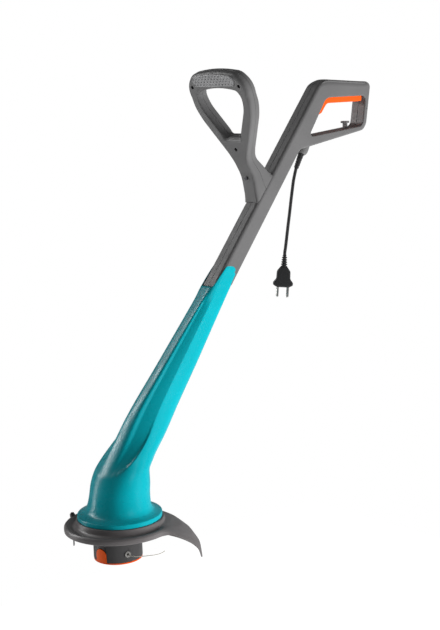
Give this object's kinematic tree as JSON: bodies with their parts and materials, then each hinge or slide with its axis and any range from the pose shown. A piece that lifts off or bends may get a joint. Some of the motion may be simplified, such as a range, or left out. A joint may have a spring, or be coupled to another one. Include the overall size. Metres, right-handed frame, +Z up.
{
  "type": "string trimmer",
  "caption": "Corded electric string trimmer: angled motor housing with guard and line head, looped front handle, closed rear handle with trigger, and a short cord with plug.",
  "frame": {"origin": "middle of the rear grip bar, where the operator's hand holds it", "axes": "+X towards the operator, +Y to the tool's right-hand shell, +Z up along the cutting head's axis; the cutting head is at -X and -Z"},
  "size_m": [0.7406, 0.2186, 0.8287],
  "materials": {
    "turquoise_plastic": "satin moulded shell",
    "grey_plastic": "fine-grained moulded shell",
    "dark_plastic": "moulded",
    "black_plastic": "moulded",
    "orange_plastic": "satin moulded",
    "red_plastic": "satin moulded",
    "soft_grip": "dimpled soft-touch pad",
    "black_rubber": "matt flexible PVC",
    "steel": "zinc-plated",
    "spring_steel": "bright wire",
    "lamination_steel": "stacked sheet",
    "copper_wire": "enamelled winding",
    "copper_bar": "turned segments",
    "brass_part": "pressed",
    "zinc_casting": "die-cast",
    "carbon": "pressed carbon",
    "nickel_plated": "nickel-plated",
    "brown_insulation": "wire insulation",
    "blue_insulation": "wire insulation",
    "yellow_film": "encapsulated",
    "nylon_line": "extruded monofilament"
  },
  "bodies": {
    "main": {"housing_shell_left": "turquoise_plastic", "housing_shell_right": "turquoise_plastic", "handle_shell_left": "grey_plastic", "handle_shell_right": "grey_plastic", "front_handle_front_shell": "grey_plastic", "front_handle_back_shell": "grey_plastic", "grip_pad": "soft_grip", "front_handle_screws": "steel", "handle_shell_screws": "steel", "housing_screws": "steel", "stator_core": "lamination_steel", "stator_windings": "copper_wire", "motor_bracket": "zinc_casting", "motor_end_cap": "black_plastic", "motor_screws": "steel", "lower_bearing": "steel", "upper_bearing": "steel", "brush_holders": "brass_part", "carbon_brushes": "carbon", "guard": "dark_plastic", "guard_screws": "steel", "line_cutter": "steel", "line_cutter_screw": "steel", "cord_strain_relief": "black_rubber", "cord_clamp": "dark_plastic", "cord_clamp_screws": "steel", "mains_cord": "black_rubber", "plug_body": "black_rubber", "plug_pins": "nickel_plated", "switch_body": "black_plastic", "capacitor": "yellow_film", "trigger_pin": "steel", "trigger_spring": "spring_steel", "lead_live": "brown_insulation", "lead_neutral": "blue_insulation", "extension_cord_hook": "dark_plastic"},
    "trigger": {"trigger": "orange_plastic"},
    "switch_plunger": {"switch_plunger": "red_plastic"},
    "cutting_head": {"motor_shaft": "steel", "rotor_core": "lamination_steel", "rotor_windings": "copper_wire", "commutator": "copper_bar", "cooling_fan": "black_plastic", "head_housing": "black_plastic", "line_eyelet": "nickel_plated", "cutting_line": "nylon_line"},
    "spool_cover": {"spool_cover": "orange_plastic"},
    "release_button_front": {"release_button_front": "orange_plastic"},
    "release_button_rear": {"release_button_rear": "orange_plastic"},
    "tap_knob": {"tap_knob": "orange_plastic", "spool_spring": "spring_steel"},
    "line_spool": {"line_spool": "dark_plastic", "wound_line": "nylon_line"}
  },
  "joints": [
    {"name": "trigger_pull", "type": "hinge", "parent": "main", "child": "trigger", "pos_m": [-0.07, 0, -0.018], "axis": [0, -1, 0], "range_deg": [0, 2.5], "stiffness_Nm_per_rad": 8, "springref_deg": -2.86, "deforming": ["trigger_spring"]},
    {"name": "plunger_press", "type": "slide", "parent": "main", "child": "switch_plunger", "axis": [0, 0, 1], "range_m": [0, 0.0018]},
    {"name": "head_spin", "type": "hinge", "parent": "main", "child": "cutting_head", "pos_m": [-0.58, 0, -0.768], "axis": [0, 0, 1], "continuous": true},
    {"name": "cover_pull", "type": "slide", "parent": "cutting_head", "child": "spool_cover", "axis": [0, 0, -1], "range_m": [0, 0.045]},
    {"name": "release_press_front", "type": "slide", "parent": "spool_cover", "child": "release_button_front", "axis": [0.9903, 0.1392, 0], "range_m": [0, 0.0025], "stiffness_N_per_m": 1500, "springref_m": -0.001},
    {"name": "release_press_rear", "type": "slide", "parent": "spool_cover", "child": "release_button_rear", "axis": [-0.9903, -0.1392, 0], "range_m": [0, 0.0025], "stiffness_N_per_m": 1500, "springref_m": -0.001},
    {"name": "tap_press", "type": "slide", "parent": "spool_cover", "child": "tap_knob", "axis": [0, 0, 1], "range_m": [0, 0.003], "stiffness_N_per_m": 800, "springref_m": -0.004, "deforming": ["spool_spring"]},
    {"name": "spool_turn", "type": "hinge", "parent": "tap_knob", "child": "line_spool", "pos_m": [-0.58, 0, -0.768], "axis": [0, 0, 1], "continuous": true}
  ],
  "couplings": [
    {"joint": "plunger_press", "follows": "trigger_pull", "m_per_rad": 0.04}
  ]
}
